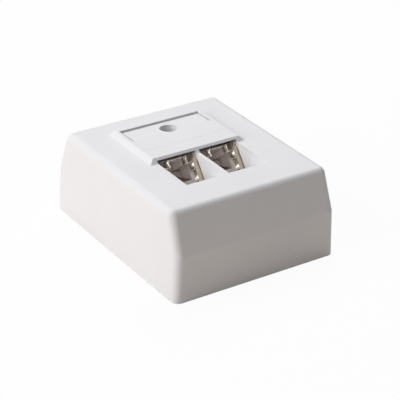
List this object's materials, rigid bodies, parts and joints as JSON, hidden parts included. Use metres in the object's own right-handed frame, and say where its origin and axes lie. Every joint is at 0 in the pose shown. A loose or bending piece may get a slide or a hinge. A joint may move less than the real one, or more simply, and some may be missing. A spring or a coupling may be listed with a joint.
{
  "type": "surface mount jack box",
  "caption": "Rectangular surface mount outlet box with slanted shielded modular jacks, a raised label platform and a screwed hood over a wall base.",
  "frame": {"origin": "centre of the wall side, where the base plate meets the wall", "axes": "+Z away from the wall, -Y the way the jacks look, X across the two jacks"},
  "size_m": [0.0656, 0.08, 0.0333],
  "materials": {
    "white_abs": "fine matt moulded",
    "zinc_steel": "zinc-plated, dull",
    "nickel_sheet": "nickel-plated, satin",
    "grey_pbt": "moulded, slightly glossy",
    "natural_lcp": "moulded",
    "gilt_wire": "gold-plated",
    "board_laminate": "solder-masked glass laminate",
    "tinned_bronze": "tin-plated"
  },
  "bodies": {
    "base": {"base_plate": "white_abs", "module_tray": "zinc_steel", "tray_screws": "zinc_steel", "board_screws": "zinc_steel", "clamp_screws": "zinc_steel", "circuit_board": "board_laminate", "jack_housing_left": "grey_pbt", "jack_shield_left": "nickel_sheet", "contact_carrier_left": "grey_pbt", "contact_wires_left": "gilt_wire", "terminal_block_left": "natural_lcp", "terminal_blades_left": "tinned_bronze", "cable_clamp_left": "zinc_steel", "jack_housing_right": "grey_pbt", "jack_shield_right": "nickel_sheet", "contact_carrier_right": "grey_pbt", "contact_wires_right": "gilt_wire", "terminal_block_right": "natural_lcp", "terminal_blades_right": "tinned_bronze", "cable_clamp_right": "zinc_steel"},
    "hood": {"hood": "white_abs"},
    "label_cover": {"label_cover": "white_abs"},
    "hood_screw": {"hood_screw": "zinc_steel"}
  },
  "joints": [
    {"name": "hood_lift", "type": "slide", "parent": "base", "child": "hood", "axis": [0, 0, 1], "range_m": [0, 0.04]},
    {"name": "label_cover_pry", "type": "hinge", "parent": "hood", "child": "label_cover", "pos_m": [0, 0.005, 0.0333], "axis": [1, 0, 0], "range_deg": [0, 40]},
    {"name": "hood_screw_turn", "type": "hinge", "parent": "hood", "child": "hood_screw", "pos_m": [0, 0.0166, 0.025], "axis": [0, 0, 1], "continuous": true}
  ]
}
